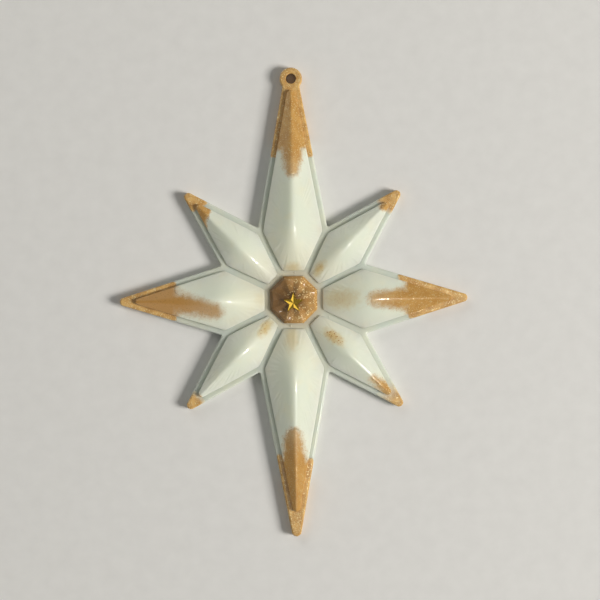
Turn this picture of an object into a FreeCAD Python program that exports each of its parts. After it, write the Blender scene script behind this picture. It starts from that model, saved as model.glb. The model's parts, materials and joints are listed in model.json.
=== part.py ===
import FreeCAD, Part
import math
import os
import Sketcher
from FreeCAD import Placement, Rotation, Vector

# Eight-pointed hanging star, cast in resin in several pours round a small metal charm.
#
# The star lies on its back. The back face is on z = 0, the raised face looks along +Z, the arm
# with the hanging eyelet points along +Y, and the origin is the centre of the back face.
#
# Four long arms and four diagonal arms meet at eight notches. Each arm carries a raised petal: a
# low five-sided pyramid on a short wall. Each point of the star was poured first, in gold-flake
# resin, with the mould leaning, so an inclined pour plane parts it from the white petal and plate.

# Driving dimensions in millimetres and degrees: alias, value, meaning.
DIMENSIONS = (
    ("plate_thickness", 4.0, "thickness of the rim, the ribs and the ring"),
    ("edge_round", 0.8, "rounding of the outer edge of the raised side"),
    ("notch_radius", 32.0, "centre of the star to each inner notch"),
    ("notch_angle", 25.7, "angle between a long arm's axis and its notches"),
    ("side_reach", 69.6, "centre to the end of the left and right arms"),
    ("side_tip_radius", 1.7, "rounding of their ends"),
    ("foot_reach", 94.8, "centre to the end of the bottom arm"),
    ("foot_tip_radius", 2.0, "rounding of its end"),
    ("diagonal_reach", 60.6, "centre to the ends of the diagonal arms"),
    ("diagonal_tip_radius", 1.7, "rounding of their ends"),
    ("eyelet_distance", 88.5, "centre of the star to the centre of the eyelet"),
    ("eyelet_diameter", 9.0, "outside diameter of the eyelet"),
    ("eyelet_hole", 4.0, "diameter of the hanging hole"),
    ("neck_width", 5.7, "width that the top arm tapers to at the eyelet's centre"),
    ("neck_round", 1.5, "rounding where the arm's sides run into the eyelet"),
    ("rim_width", 2.2, "flat rim outside each petal"),
    ("rib_width", 2.4, "flat rib between neighbouring petals"),
    ("ring_width", 2.24, "flat ring between the boss and the petals"),
    ("petal_wall", 1.2, "upright wall round each petal"),
    ("peak_distance", 27.8, "centre of the star to the highest point of each petal"),
    ("long_rise", 4.7, "peak of a long arm's petal above its wall"),
    ("diagonal_rise", 3.5, "peak of a diagonal arm's petal above its wall"),
    ("eyelet_petal_tip", 1.8, "rounding of the petal's tip on the eyelet arm"),
    ("side_petal_tip", 1.26, "the same on the left and right arms"),
    ("foot_petal_tip", 1.57, "the same on the bottom arm"),
    ("diagonal_petal_tip", 1.41, "the same on the diagonal arms"),
    ("boss_apothem", 9.4, "centre of the boss to the middle of a flat"),
    ("boss_wall", 0.9, "upright wall of the boss"),
    ("boss_bevel", 0.9, "width and height of the bevel above that wall"),
    ("boss_pleat", 0.45, "how far each pleat is drawn in at the middle of a flat"),
    ("boss_crown", 1.4, "rise of the pleated top to its centre"),
    ("charm_radius", 4.2, "centre of the charm to its five points"),
    ("charm_waist", 1.75, "centre of the charm to its five inner corners"),
    ("charm_edge", 0.9, "upright edge of the charm"),
    ("charm_crown", 1.0, "rise of its facets above that edge"),
    ("charm_offset", 1.3, "charm centre from the star's centre, towards the bottom arm"),
    ("charm_seat", 0.9, "depth of the charm's seat below the top of the boss"),
    ("pour_depth_top", 26.9, "how far the gold pour comes in on the rim from the petal's tip, top arm"),
    ("pour_tilt_top", 26.0, "lean of that pour's surface from the plane of the star"),
    ("pour_depth_right", 19.3, "the same two values for the right arm"),
    ("pour_tilt_right", 21.7, ""),
    ("pour_depth_bottom", 22.1, "the same two values for the bottom arm"),
    ("pour_tilt_bottom", 19.2, ""),
    ("pour_depth_left", 16.4, "the same two values for the left arm"),
    ("pour_tilt_left", 17.7, ""),
    ("pour_depth_upper_right", 2.8, "the same depth for the diagonal arms, which share one lean"),
    ("pour_depth_lower_right", 5.3, ""),
    ("pour_depth_lower_left", 0.3, ""),
    ("pour_depth_upper_left", 5.4, ""),
    ("pour_tilt_diagonal", 30.0, ""),
    ("pour_margin", 5.0, "how far a cutting prism stands past the star"),
)

# The arms anticlockwise from the right: place, direction in degrees, family.
ARMS = (
    ("right", 0, "side"),
    ("upper_right", 45, "diagonal"),
    ("top", 90, "eyelet"),
    ("upper_left", 135, "diagonal"),
    ("left", 180, "side"),
    ("lower_left", 225, "diagonal"),
    ("bottom", 270, "foot"),
    ("lower_right", 315, "diagonal"),
)

ORIGIN = (-1, 1)   # the sketch's own origin, as geometry and point
Y_AXIS = -2        # the sketch's own vertical axis
START, END, CENTRE = 1, 2, 3

PEAK_RISE = {"side": "dims.long_rise", "foot": "dims.long_rise", "eyelet": "dims.long_rise",
             "diagonal": "dims.diagonal_rise"}

PETAL_INNER_END = "(dims.boss_apothem + dims.ring_width)"
PETAL_WALL_TOP = "(dims.plate_thickness + dims.petal_wall)"
BOSS_SHOULDER = "(dims.plate_thickness + dims.boss_wall)"
BOSS_EDGE = "(dims.plate_thickness + dims.boss_wall + dims.boss_bevel)"
BOSS_TOP = "(dims.plate_thickness + dims.boss_wall + dims.boss_bevel + dims.boss_crown)"
CHARM_BASE = f"({BOSS_TOP} - dims.charm_seat)"
HIGHEST_POINT = f"({PETAL_WALL_TOP} + dims.long_rise)"

doc = FreeCAD.newDocument("star_ornament")
sheet = doc.addObject("Spreadsheet::Sheet", "dims")


def fill_sheet():
    """Write the driving dimensions into the sheet, one row each, with their aliases."""
    for row, (alias, value, meaning) in enumerate(DIMENSIONS, start=1):
        sheet.set(f"A{row}", alias)
        sheet.set(f"B{row}", str(value))
        sheet.setAlias(f"B{row}", alias)
        sheet.set(f"C{row}", meaning)
    doc.recompute()


def value_of(expression):
    """The number that an expression over the sheet gives now."""
    value = sheet.evalExpression(expression)
    return float(getattr(value, "Value", value))


def point_at(x, y):
    """A start position for sketch geometry, from two expressions."""
    return Vector(value_of(x), value_of(y), 0)


# ---------------------------------------------------------------- sketch helpers

def new_body(name, direction=90):
    """A body whose own +Y is turned to the given direction of the star."""
    body = doc.addObject("PartDesign::Body", name)
    body.Label = name
    body.Placement = Placement(Vector(0, 0, 0), Rotation(Vector(0, 0, 1), direction - 90))
    return body


def new_sketch(body, name, plane="XY_Plane", height="0"):
    """A sketch on one of the body's origin planes, lifted along that plane's normal."""
    sketch = body.newObject("Sketcher::SketchObject", name)
    support = [feature for feature in body.Origin.OriginFeatures if feature.Role == plane]
    sketch.AttachmentSupport = [(support[0], "")]
    sketch.MapMode = "FlatFace"
    sketch.setExpression(".AttachmentOffset.Base.z", height)
    return sketch


def bind(sketch, kind, *target, expression):
    """Add one dimensional constraint and tie it to an expression."""
    index = sketch.addConstraint(Sketcher.Constraint(kind, *target, value_of(expression)))
    sketch.setExpression(f"Constraints[{index}]", expression)


def bind_point(sketch, geometry, which, x, y):
    """Hold one point of a piece of geometry at the place that two expressions give."""
    bind(sketch, "DistanceX", geometry, which, expression=x)
    bind(sketch, "DistanceY", geometry, which, expression=y)


def join(sketch, first, second):
    """The end of one edge is the start of the next."""
    sketch.addConstraint(Sketcher.Constraint("Coincident", first, END, second, START))


def add_polygon(sketch, corners):
    """Closed polygon through corners given as pairs of expressions."""
    points = [point_at(x, y) for x, y in corners]
    count = len(points)
    for index in range(count):
        sketch.addGeometry(Part.LineSegment(points[index], points[(index + 1) % count]), False)
    for index, (x, y) in enumerate(corners):
        join(sketch, (index - 1) % count, index)
        bind_point(sketch, index, START, x, y)


def add_point(sketch, x, y):
    """A single point, which a loft can end in."""
    point = sketch.addGeometry(Part.Point(point_at(x, y)), False)
    bind_point(sketch, point, START, x, y)


def polar(radius, degrees):
    """Corner expressions for a point at a radius and a direction."""
    return f"({radius}) * cos({degrees})", f"({radius}) * sin({degrees})"


def pad(body, sketch, length, name):
    """Raise a sketch along its normal."""
    feature = body.newObject("PartDesign::Pad", name)
    feature.Profile = sketch
    feature.setExpression("Length", length)
    return feature


def loft(body, sections, name):
    """Straight-sided solid through sketches, from the lowest up; the last may be one point."""
    feature = body.newObject("PartDesign::AdditiveLoft", name)
    feature.Profile = sections[0]
    feature.Sections = sections[1:]
    feature.Ruled = True
    return feature


def round_edges(body, base, wanted, radius, name):
    """Fillet the edges of base that the test picks out."""
    doc.recompute()
    names = [f"Edge{number}" for number, edge in enumerate(base.Shape.Edges, start=1) if wanted(edge)]
    feature = body.newObject("PartDesign::Fillet", name)
    feature.Base = (base, names)
    feature.setExpression("Radius", radius)
    return feature


# ---------------------------------------------------------------- the star's outline

def notch_after(arm):
    """Direction of the notch between an arm and the next one, as an expression in degrees."""
    _place, direction, family = arm
    if family == "diagonal":
        return f"{direction + 45} - dims.notch_angle"
    return f"{direction} + dims.notch_angle"


def half_angle(family):
    """Angle between an arm's axis and the notches beside it."""
    if family == "diagonal":
        return "(45 - dims.notch_angle)"
    return "dims.notch_angle"


def tip_circle(family):
    """Distance from the star's centre and radius of the circle that rounds an arm's end."""
    radius = f"dims.{family}_tip_radius"
    return f"(dims.{family}_reach - {radius})", radius


def side_lines(family):
    """Lean of an arm's sides to its axis, and how far from the star's centre they would meet."""
    notch_x = f"dims.notch_radius * sin({half_angle(family)})"
    notch_y = f"dims.notch_radius * cos({half_angle(family)})"
    if family == "eyelet":
        lean = f"atan(({notch_x} - dims.neck_width / 2) / (dims.eyelet_distance - {notch_y}))"
        return lean, f"(dims.eyelet_distance + dims.neck_width / 2 / tan({lean}))"
    distance, radius = tip_circle(family)
    run = f"({distance} - {notch_y})"
    lean = f"(atan({notch_x} / {run}) - asin({radius} / hypot({notch_x}; {run})))"
    return lean, f"({distance} + {radius} / sin({lean}))"


def petal_tip(family):
    """Distance from the star's centre to the rounded tip of a petal."""
    lean, meeting = side_lines(family)
    return f"({meeting} - dims.rim_width / sin({lean}) - dims.{family}_petal_tip * (1 / sin({lean}) - 1))"


def add_arm_end(sketch, arm):
    """The end of an arm in the star's outline: a tip arc, or the eyelet arm's straight end."""
    _place, direction, family = arm
    if family == "eyelet":
        right_x, left_x, top_y = "dims.neck_width / 2", "-dims.neck_width / 2", "dims.eyelet_distance"
        line = Part.LineSegment(point_at(right_x, top_y), point_at(left_x, top_y))
        end = sketch.addGeometry(line, False)
        bind_point(sketch, end, START, right_x, top_y)
        bind_point(sketch, end, END, left_x, top_y)
        return end
    distance, radius = tip_circle(family)
    x, y = polar(distance, direction)
    circle = Part.Circle(point_at(x, y), Vector(0, 0, 1), value_of(radius))
    quarter = math.pi / 2
    middle = math.radians(direction)
    end = sketch.addGeometry(Part.ArcOfCircle(circle, middle - quarter, middle + quarter), False)
    bind_point(sketch, end, CENTRE, x, y)
    bind(sketch, "Radius", end, expression=radius)
    return end


def add_star_outline(sketch):
    """Sixteen straight sides from notch to arm end, with an end on each arm."""
    ends = [add_arm_end(sketch, arm) for arm in ARMS]
    notches = [polar("dims.notch_radius", notch_after(arm)) for arm in ARMS]
    outward, inward = [], []
    for index, end in enumerate(ends):
        curve = sketch.Geometry[end]
        before, after = point_at(*notches[index - 1]), point_at(*notches[index])
        outward.append(sketch.addGeometry(Part.LineSegment(before, curve.StartPoint), False))
        inward.append(sketch.addGeometry(Part.LineSegment(curve.EndPoint, after), False))
    for index, (_place, _direction, family) in enumerate(ARMS):
        meets = "Coincident" if family == "eyelet" else "Tangent"
        end = ends[index]
        sketch.addConstraint(Sketcher.Constraint(meets, outward[index], END, end, START))
        sketch.addConstraint(Sketcher.Constraint(meets, end, END, inward[index], START))
        join(sketch, inward[index - 1], outward[index])
        bind_point(sketch, outward[index], START, *notches[index - 1])


def is_upright(edge):
    """Whether an edge is a straight line along Z."""
    first, last = edge.Vertexes[0].Point, edge.Vertexes[-1].Point
    return math.hypot(first.x - last.x, first.y - last.y) < 1e-6 and len(edge.Vertexes) == 2


def make_plate():
    """The whole flat star with its eyelet, before the pours part it."""
    body = new_body("plate_blank")
    outline = new_sketch(body, "star_outline")
    add_star_outline(outline)
    pad(body, outline, "dims.plate_thickness", "star_pad")

    disc = new_sketch(body, "eyelet_outline")
    centre = point_at("0", "dims.eyelet_distance")
    radius = value_of("dims.eyelet_diameter / 2")
    ring = disc.addGeometry(Part.Circle(centre, Vector(0, 0, 1), radius), False)
    bind_point(disc, ring, CENTRE, "0", "dims.eyelet_distance")
    bind(disc, "Diameter", ring, expression="dims.eyelet_diameter")
    eyelet = pad(body, disc, "dims.plate_thickness", "eyelet_pad")

    def at_neck(edge):
        spot = edge.Vertexes[0].Point
        reach = math.hypot(spot.x, spot.y - centre.y)
        return is_upright(edge) and abs(reach - radius) < 1e-4 and spot.y < centre.y

    neck = round_edges(body, eyelet, at_neck, "dims.neck_round", "neck_fillet")

    top = value_of("dims.plate_thickness")
    rim = round_edges(body, neck, lambda edge: abs(edge.BoundBox.ZMin - top) < 1e-6,
                      "dims.edge_round", "edge_fillet")
    doc.recompute()

    hole = new_sketch(body, "hole_outline")
    bore = hole.addGeometry(Part.Circle(centre, Vector(0, 0, 1), value_of("dims.eyelet_hole / 2")), False)
    bind_point(hole, bore, CENTRE, "0", "dims.eyelet_distance")
    bind(hole, "Diameter", bore, expression="dims.eyelet_hole")
    pocket = body.newObject("PartDesign::Pocket", "hanging_hole")
    pocket.Profile = hole
    pocket.Type = "ThroughAll"
    pocket.Reversed = True
    doc.recompute()
    removed = rim.Shape.Volume - pocket.Shape.Volume
    assert removed > 0, "the hanging hole cuts nothing"
    return body


# ---------------------------------------------------------------- petals

def add_side_guides(sketch, family):
    """Construction lines on the arm's right-hand rib line and outer side; returns both."""
    angle = half_angle(family)
    notch = f"dims.notch_radius * sin({angle})", f"dims.notch_radius * cos({angle})"
    rib = sketch.addGeometry(Part.LineSegment(Vector(0, 0, 0), point_at(*notch)), True)
    sketch.addConstraint(Sketcher.Constraint("Coincident", rib, START, *ORIGIN))
    bind_point(sketch, rib, END, *notch)
    if family == "eyelet":
        neck = "dims.neck_width / 2", "dims.eyelet_distance"
        side = sketch.addGeometry(Part.LineSegment(point_at(*notch), point_at(*neck)), True)
        bind_point(sketch, side, END, *neck)
    else:
        distance, radius = tip_circle(family)
        centre = point_at("0", distance)
        circle = sketch.addGeometry(Part.Circle(centre, Vector(0, 0, 1), value_of(radius)), True)
        touch = centre + Vector(value_of(radius), 0, 0)
        side = sketch.addGeometry(Part.LineSegment(point_at(*notch), touch), True)
        bind_point(sketch, circle, CENTRE, "0", distance)
        bind(sketch, "Radius", circle, expression=radius)
        sketch.addConstraint(Sketcher.Constraint("PointOnObject", side, END, circle))
        sketch.addConstraint(Sketcher.Constraint("Tangent", side, circle))
    join(sketch, rib, side)
    return rib, side


def add_petal_outline(sketch, family):
    """Inner end, rib side, outer side and rounded tip, mirrored about the arm's axis."""
    rib_guide, side_guide = add_side_guides(sketch, family)
    inner_y = value_of(PETAL_INNER_END)
    inner_x = inner_y * math.tan(math.radians(value_of(half_angle(family)))) / 2
    notch = sketch.Geometry[rib_guide].EndPoint
    wide = Vector(notch.x - value_of("dims.rim_width"), notch.y, 0)
    tip_radius = f"dims.{family}_petal_tip"
    tip_end = sketch.Geometry[side_guide].EndPoint
    tip_centre = Vector(0, tip_end.y - value_of("dims.rim_width") * 4, 0)
    circle = Part.Circle(tip_centre, Vector(0, 0, 1), value_of(tip_radius))

    inner_right, inner_left = Vector(inner_x, inner_y, 0), Vector(-inner_x, inner_y, 0)
    wide_left = Vector(-wide.x, wide.y, 0)
    tip = sketch.addGeometry(Part.ArcOfCircle(circle, 0, math.pi), False)
    tip_right = sketch.Geometry[tip].StartPoint
    tip_left = sketch.Geometry[tip].EndPoint
    inner = sketch.addGeometry(Part.LineSegment(inner_left, inner_right), False)
    rib = sketch.addGeometry(Part.LineSegment(inner_right, wide), False)
    side = sketch.addGeometry(Part.LineSegment(wide, tip_right), False)
    far_side = sketch.addGeometry(Part.LineSegment(tip_left, wide_left), False)
    far_rib = sketch.addGeometry(Part.LineSegment(wide_left, inner_left), False)

    join(sketch, inner, rib)
    join(sketch, rib, side)
    sketch.addConstraint(Sketcher.Constraint("Tangent", side, END, tip, START))
    sketch.addConstraint(Sketcher.Constraint("Tangent", tip, END, far_side, START))
    join(sketch, far_side, far_rib)
    join(sketch, far_rib, inner)
    sketch.addConstraint(Sketcher.Constraint("PointOnObject", tip, CENTRE, Y_AXIS))
    sketch.addConstraint(Sketcher.Constraint("Symmetric", inner, START, inner, END, Y_AXIS))
    sketch.addConstraint(Sketcher.Constraint("Symmetric", rib, END, far_side, END, Y_AXIS))
    sketch.addConstraint(Sketcher.Constraint("Parallel", rib, rib_guide))
    sketch.addConstraint(Sketcher.Constraint("Parallel", side, side_guide))
    bind(sketch, "Distance", rib, START, rib_guide, expression="dims.rib_width / 2")
    bind(sketch, "Distance", side, START, side_guide, expression="dims.rim_width")
    bind(sketch, "DistanceY", inner, START, expression=PETAL_INNER_END)
    bind(sketch, "Radius", tip, expression=tip_radius)


def make_petal(arm):
    """A petal before its tip is parted off: short wall, then a five-sided roof to one peak."""
    place, direction, family = arm
    body = new_body(f"petal_blank_{place}", direction)
    foot = new_sketch(body, f"petal_foot_{place}", height="dims.plate_thickness")
    add_petal_outline(foot, family)
    eaves = new_sketch(body, f"petal_eaves_{place}", height=PETAL_WALL_TOP)
    add_petal_outline(eaves, family)
    peak = new_sketch(body, f"petal_peak_{place}", height=f"{PETAL_WALL_TOP} + {PEAK_RISE[family]}")
    add_point(peak, "0", "dims.peak_distance")
    loft(body, [foot, eaves, peak], f"petal_loft_{place}")
    return body


# ---------------------------------------------------------------- pour planes

def pour_tilt(arm):
    """Lean of an arm's pour surface."""
    place, _direction, family = arm
    return "dims.pour_tilt_diagonal" if family == "diagonal" else f"dims.pour_tilt_{place}"


def pour_edge(arm, height):
    """Distance from the star's centre to the pour surface at a height."""
    place, _direction, family = arm
    on_rim = f"{petal_tip(family)} - dims.pour_depth_{place}"
    return f"{on_rim} - ({height} - dims.plate_thickness) / tan({pour_tilt(arm)})"


def make_pour(arm):
    """Everything beyond an arm's leaning pour surface, as wide as the arm at its notches."""
    place, direction, family = arm
    body = new_body(f"pour_{place}", direction)
    outline = new_sketch(body, f"pour_outline_{place}", plane="YZ_Plane")
    low = "-dims.pour_margin"
    high = f"({HIGHEST_POINT} + dims.pour_margin)"
    reach = "(dims.eyelet_distance + dims.eyelet_diameter)" if family == "eyelet" else f"dims.{family}_reach"
    far = f"({reach} + dims.pour_margin)"
    add_polygon(outline, (
        (pour_edge(arm, low), low),
        (far, low),
        (far, high),
        (pour_edge(arm, high), high),
    ))
    prism = pad(body, outline, f"2 * dims.notch_radius * sin({half_angle(family)})", f"pour_prism_{place}")
    prism.SideType = "Symmetric"
    return body


# ---------------------------------------------------------------- boss and charm

def add_boss_ring(sketch, apothem, pleat):
    """Octagon with a flat towards each arm; the middle of each flat is drawn in by the pleat."""
    corners = []
    for index in range(8):
        corners.append(polar(f"{apothem} / cos(22.5)", 45 * index - 22.5))
        corners.append(polar(f"{apothem} - {pleat}", 45 * index))
    add_polygon(sketch, corners)


def make_boss():
    """The octagonal boss before the charm's seat is cut."""
    body = new_body("boss_blank")
    bevelled = "(dims.boss_apothem - dims.boss_bevel)"
    foot = new_sketch(body, "boss_foot", height="dims.plate_thickness")
    add_boss_ring(foot, "dims.boss_apothem", "0")
    shoulder = new_sketch(body, "boss_shoulder", height=BOSS_SHOULDER)
    add_boss_ring(shoulder, "dims.boss_apothem", "0")
    edge = new_sketch(body, "boss_edge", height=BOSS_EDGE)
    add_boss_ring(edge, bevelled, "dims.boss_pleat")
    top = new_sketch(body, "boss_top", height=BOSS_TOP)
    add_point(top, "0", "0")
    loft(body, [foot, shoulder, edge, top], "boss_loft")
    return body


def add_charm_outline(sketch):
    """Five-pointed star, one point towards the eyelet."""
    corners = []
    for index in range(5):
        for radius, turn in (("dims.charm_radius", 0), ("dims.charm_waist", 36)):
            x, y = polar(radius, 90 + 72 * index + turn)
            corners.append((x, f"{y} - dims.charm_offset"))
    add_polygon(sketch, corners)


def make_charm():
    """The charm: an upright edge, then ten facets to one peak."""
    body = new_body("star_charm")
    foot = new_sketch(body, "charm_foot", height=CHARM_BASE)
    add_charm_outline(foot)
    edge = new_sketch(body, "charm_edge", height=f"{CHARM_BASE} + dims.charm_edge")
    add_charm_outline(edge)
    peak = new_sketch(body, "charm_peak", height=f"{CHARM_BASE} + dims.charm_edge + dims.charm_crown")
    add_point(peak, "0", "-dims.charm_offset")
    loft(body, [foot, edge, peak], "charm_loft")
    return body


def make_charm_seat():
    """Prism on the charm's outline, from its base to clear above the boss."""
    body = new_body("charm_seat")
    outline = new_sketch(body, "seat_outline", height=CHARM_BASE)
    add_charm_outline(outline)
    pad(body, outline, "dims.charm_seat + dims.pour_margin", "seat_prism")
    return body


# ---------------------------------------------------------------- putting it together

def combine(kind, name, **inputs):
    """A boolean of other objects, with seams between coplanar faces taken out."""
    result = doc.addObject(kind, name)
    result.Label = name
    for key, value in inputs.items():
        setattr(result, key, value)
    result.Refine = True
    return result


def make_all():
    """Build every piece and return those that the ornament is made of."""
    fill_sheet()
    plate = make_plate()
    petals = [make_petal(arm) for arm in ARMS]
    pours = [make_pour(arm) for arm in ARMS]
    raised = combine("Part::MultiFuse", "raised_star", Shapes=[plate] + petals)
    all_pours = combine("Part::MultiFuse", "all_pours", Shapes=pours)

    pieces = [combine("Part::Cut", "back_plate", Base=plate, Tool=all_pours)]
    for arm, petal, pour in zip(ARMS, petals, pours):
        pieces.append(combine("Part::Cut", f"petal_{arm[0]}", Base=petal, Tool=pour))
        pieces.append(combine("Part::Common", f"tip_{arm[0]}", Base=raised, Tool=pour))
    pieces.append(combine("Part::Cut", "centre_boss", Base=make_boss(), Tool=make_charm_seat()))
    pieces.append(make_charm())
    doc.recompute()
    return pieces


def check(pieces):
    """Stop if any object failed, or if a piece is not one valid solid."""
    for item in doc.Objects:
        assert not {"Invalid", "Error"} & set(item.State), f"{item.Name}: {item.State}"
    for piece in pieces:
        shape = piece.Shape
        assert not shape.isNull() and shape.isValid(), f"{piece.Label} has no valid shape"
        assert len(shape.Solids) == 1, f"{piece.Label} has {len(shape.Solids)} solids"


def write(pieces):
    """One STEP file for each piece, named by its label."""
    os.makedirs("parts", exist_ok=True)
    for piece in pieces:
        piece.Shape.exportStep(os.path.join("parts", piece.Label + ".step"))
        print(f"{piece.Label:20s} volume {piece.Shape.Volume:9.1f} mm3")


all_pieces = make_all()
check(all_pieces)
write(all_pieces)
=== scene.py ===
import json
import math
from collections import namedtuple
from types import SimpleNamespace

import bmesh
import bpy
import numpy as np
from mathutils import Matrix, Vector, noise

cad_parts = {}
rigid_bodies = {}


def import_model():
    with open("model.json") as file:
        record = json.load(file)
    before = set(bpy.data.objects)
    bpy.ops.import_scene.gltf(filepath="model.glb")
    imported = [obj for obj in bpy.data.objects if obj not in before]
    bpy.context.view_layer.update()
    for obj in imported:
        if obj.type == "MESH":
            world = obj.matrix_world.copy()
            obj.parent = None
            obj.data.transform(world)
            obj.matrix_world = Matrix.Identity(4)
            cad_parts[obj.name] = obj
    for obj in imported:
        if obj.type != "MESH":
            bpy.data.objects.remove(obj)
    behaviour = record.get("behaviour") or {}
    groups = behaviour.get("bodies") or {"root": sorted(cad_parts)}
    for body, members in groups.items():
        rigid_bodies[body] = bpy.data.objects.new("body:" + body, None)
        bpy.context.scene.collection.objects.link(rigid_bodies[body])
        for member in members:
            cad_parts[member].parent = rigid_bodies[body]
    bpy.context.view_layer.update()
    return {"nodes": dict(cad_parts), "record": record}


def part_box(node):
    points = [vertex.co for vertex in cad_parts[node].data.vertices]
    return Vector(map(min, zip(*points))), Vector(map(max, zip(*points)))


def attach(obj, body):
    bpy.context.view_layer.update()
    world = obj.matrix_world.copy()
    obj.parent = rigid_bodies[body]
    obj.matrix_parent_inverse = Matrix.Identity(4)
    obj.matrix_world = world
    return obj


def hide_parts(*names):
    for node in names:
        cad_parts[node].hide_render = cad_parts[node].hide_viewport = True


# Looks of the eight-pointed resin star: white pearl petals on a grey-green plate, gold-flake tips
# with an eyelet, a pleated amber boss and a small brass star. Shapes are built in millimetres,
# each arm in its own frame (x across the arm, y along it), and are turned and scaled at the end.

MM = 0.001

# Direction of each arm in degrees, anticlockwise from the right.
ARMS = {"right": 0, "upper_right": 45, "top": 90, "upper_left": 135,
        "left": 180, "lower_left": 225, "bottom": 270, "lower_right": 315}

# Mesh steps in millimetres, then numbers of steps.
LINE_STEP = 0.55  # along the straight parts of an outline
ARC_STEP = 0.2  # along its rounded corners
ROOF_RINGS = 44  # rings from the eaves of a petal to its peak
DRILL_STEPS = 72  # round the hanging hole
DROP_STEPS = 16  # round a drop of resin
DROP_LEVELS = 6  # from the foot of a drop to its top
DROP_SUNK = 2  # levels that lie below the surface it stands on

# Small roundings that the mould leaves, in millimetres.
NOTCH_ROUND = 0.7  # corner between two arms
EDGE_ROUND = 0.8  # upper edge of the rim
BACK_ROUND = 0.25  # lower edge of the rim
BASE_ROUND = 0.2  # the hidden corners at the root of a tip
NECK_ROUND = 1.5  # where the arm runs into the eyelet
HOLE_ROUND = 0.35  # mouth of the hanging hole
FOOT_COVE = 0.45  # foot of a petal's wall
COVE_MIDDLE = (0.08, 0.1)  # rise of the cove's middle, and how far it stands out
EAVES_ROUND = 0.5  # top of a petal's wall
EAVES_TURN = 68  # degrees that the rounded eaves turn through before the roof starts
OVERLAP = 0.01  # how far a tip reaches into its petal, so that no gap shows
INNER_ROUND = 0.7  # the petal's two inner corners
WIDE_ROUND = 1.5  # its two wide corners
RIDGE_SOFTNESS = 0.75  # how far two roof faces melt into each other
TIP_SOFTNESS = 0.2  # share of that melting which is left at a petal's tip
PEAK_LOSS = 0.40  # how far the softened peak stays below the sharp one
SINK = 0.02  # how deep a tip's roof is let into its plate before they are joined
CLEAR = 1  # how far a cutting tool reaches past what it cuts

# Faint flutes on the outer part of each roof, radiating from the peak.
FLUTE_DEPTH = 0.17
FLUTE_PITCH = 1.4
FLUTE_REACH = 0.50  # share of the way to the peak where they have faded out
FLUTE_START = 0.12  # how far into their rise and fall they are at the eaves
FLUTE_END = 8  # they fade out over this length before the gold

# The upright blocks that part gold from white on the roofs.
TONGUE_FLARE = 1.9  # how many times wider a gold tongue is at its root
ROOT_ROUND = 2.0  # rounding of the boundary where the tongue leaves it
END_ROUND = 0.9  # rounding of a tongue's end, as a share of its half width
ROUND_LIMIT = 0.45  # largest of these roundings, as a share of the tongue's length
PRISM_SIDE = 20  # half width of the blocks, wider than any petal
PRISM_ROUND = 1  # rounding of their far corners

# How each gold pour looks from above, in millimetres in the arm's frame: where the roof turns gold,
# where the tongue ends and its half width there, how far its middle lies from the ridge at its end
# and at its root, how far the colours run into each other, how much darker the roof's gold is than
# the rim's (partly its thicker resin, partly painted shade set arm by arm, which also dims its
# bright flakes), the turn in degrees of the boundary on rim and roof, and how far outside the
# CAD's boundary the rim turns gold and over what length.
Pour = namedtuple("Pour", "roof tongue half_width end_shift roof_shift softness deepening rim_skew"
                          " roof_skew rim_out rim_fade", defaults=(0, 0, 0, 0.9))
POURS = {
    "top": Pour(60.8, 49.6, 2.0, 0.1, 0.0, 1.5, 0.55),
    "right": Pour(45.4, 30.6, 1.9, 0.2, 0.0, 1.9, 0.6, rim_skew=-14),
    "bottom": Pour(64.5, 51.4, 2.3, 0.7, 0.5, 1.5, 0.7, rim_skew=8),
    "left": Pour(47.5, 29.4, 1.8, -4.4, -0.4, 2.3, 0.95),
    "upper_right": Pour(51.8, 50.5, 0.9, 0.0, 0.0, 1.0, 0.35, rim_fade=2.6),
    "upper_left": Pour(48.6, 47.5, 1.2, 0.0, 0.0, 0.8, 0.6, rim_skew=16, roof_skew=-44, rim_out=3.9),
    "lower_left": Pour(54.4, 53.6, 0.8, 0.0, 0.0, 0.8, 0.4, rim_fade=2.6),
    "lower_right": Pour(52.0, 43.9, 1.1, 0.3, 0.0, 1.5, 0.15, rim_out=1.5, rim_fade=8.0),
}

# Stains in the white resin, in the arm's frame: place, half sizes, strength, turn in degrees, flecks.
Stain = namedtuple("Stain", "x y half_x half_y strength turn flecks", defaults=(0, 0))
STAINS = {
    "top": Stain(-0.3, 12.5, 4.4, 3.0, 0.6),
    "right": Stain(0.0, 18.8, 5.2, 9.0, 0.5, flecks=0.2),
    "bottom": Stain(1.0, 15.5, 3.6, 6.5, 0.45),
    "left": Stain(0.5, 12.6, 4.6, 3.6, 0.2),
    "upper_right": Stain(-1.3, 15.8, 2.3, 4.2, 0.8, turn=8, flecks=0.5),
    "lower_left": Stain(0.1, 15.9, 2.6, 4.8, 0.8, turn=8, flecks=0.55),
    "lower_right": Stain(-0.6, 21.8, 2.8, 5.8, 0.85, turn=10, flecks=0.8),
}

# Tiny drops of resin on the plate, in the star's frame, and one bubble under a petal's skin.
Drop = namedtuple("Drop", "x y radius rise")
DROPS = (Drop(0.56, 10.84, 0.45, 0.3), Drop(-1.24, -10.44, 0.45, 0.3), Drop(14.0, -7.0, 0.4, 0.25))
BUBBLE = Drop(-4.9, 32.1, 0.55, 0.12)
BUBBLE_ARM = "upper_left"

# How the CAD's vertices are sorted, in millimetres and degrees.
NEAR = 0.01  # heights closer than this are the same
SAME_POINT = 1e-5  # points closer than this are one when a mesh is cut
END_BAND = 0.05  # vertices this close to a petal's first one are its inner end
EDGE_BEARING = (1, 30)  # directions off an arm's axis in which its edge is looked for
PAST_CORNER = 1  # a straight edge is measured this far beyond the corner that it starts from


# -------- the frame and what it measures

def clear_scene():
    """Remove what a new Blender file holds."""
    for item in list(bpy.data.objects):
        bpy.data.objects.remove(item)


def link(item):
    """Put an object into the scene."""
    bpy.context.scene.collection.objects.link(item)


clear_scene()
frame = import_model()


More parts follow.
